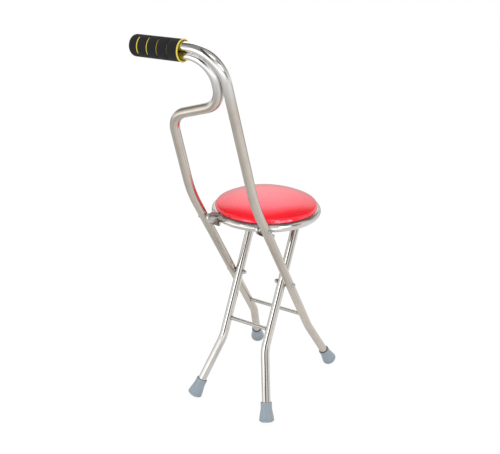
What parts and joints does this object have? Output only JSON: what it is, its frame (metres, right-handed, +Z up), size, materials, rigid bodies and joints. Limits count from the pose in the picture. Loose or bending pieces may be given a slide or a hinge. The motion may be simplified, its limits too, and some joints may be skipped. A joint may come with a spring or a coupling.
{
  "type": "folding cane stool",
  "caption": "Four-legged tubular steel folding stool with a round padded seat, crossed legs and a walking-stick handle with a foam grip.",
  "frame": {"origin": "centre of the bounding box on the floor, between the four rubber feet", "axes": "+X along the seat hinge, away from the end of the handle; +Y from the handle side over the seat to the rear feet; +Z up"},
  "size_m": [0.2512, 0.4944, 0.8796],
  "materials": {
    "satin_steel": "satin stainless steel tube",
    "bright_steel": "polished stainless steel tube and plate",
    "zinc_steel": "bright zinc-plated fasteners",
    "grey_rubber": "matte blue-grey moulded rubber",
    "black_foam": "matte closed-cell foam skin",
    "yellow_foam": "matte closed-cell foam core",
    "plywood": "unfinished plywood, seen only from below",
    "red_vinyl": "glossy red vinyl stretched over foam"
  },
  "bodies": {
    "long_frame": {"right_cane_tube": "satin_steel", "left_cane_tube": "satin_steel", "long_frame_bar": "satin_steel", "foam_grip": "black_foam", "grip_core": "yellow_foam", "long_feet": "grey_rubber", "long_foot_discs": "zinc_steel", "pivot_bolts": "zinc_steel", "pivot_washers": "zinc_steel", "pivot_nuts": "zinc_steel", "hinge_bolts": "zinc_steel", "hinge_spacers": "zinc_steel", "hinge_nuts": "zinc_steel"},
    "short_frame": {"right_short_leg": "bright_steel", "left_short_leg": "bright_steel", "short_frame_bar": "bright_steel", "seat_rod": "bright_steel", "leg_plugs": "bright_steel", "short_feet": "grey_rubber", "short_foot_discs": "zinc_steel"},
    "seat": {"seat_ring": "bright_steel", "hinge_ears": "bright_steel", "stop_pins": "zinc_steel", "stop_sleeves": "zinc_steel", "right_seat_rail": "bright_steel", "left_seat_rail": "bright_steel", "seat_screws": "zinc_steel", "seat_board": "plywood", "seat_cushion": "red_vinyl"}
  },
  "joints": [
    {"name": "leg_fold", "type": "hinge", "parent": "long_frame", "child": "short_frame", "pos_m": [0, 0.05232, 0.295], "axis": [1, 0, 0], "range_deg": [0, 51]},
    {"name": "seat_fold", "type": "hinge", "parent": "long_frame", "child": "seat", "pos_m": [0, -0.06445, 0.47075], "axis": [1, 0, 0], "range_deg": [0, 102]}
  ],
  "couplings": [
    {"joint": "seat_fold", "follows": "leg_fold", "ratio": 2}
  ]
}
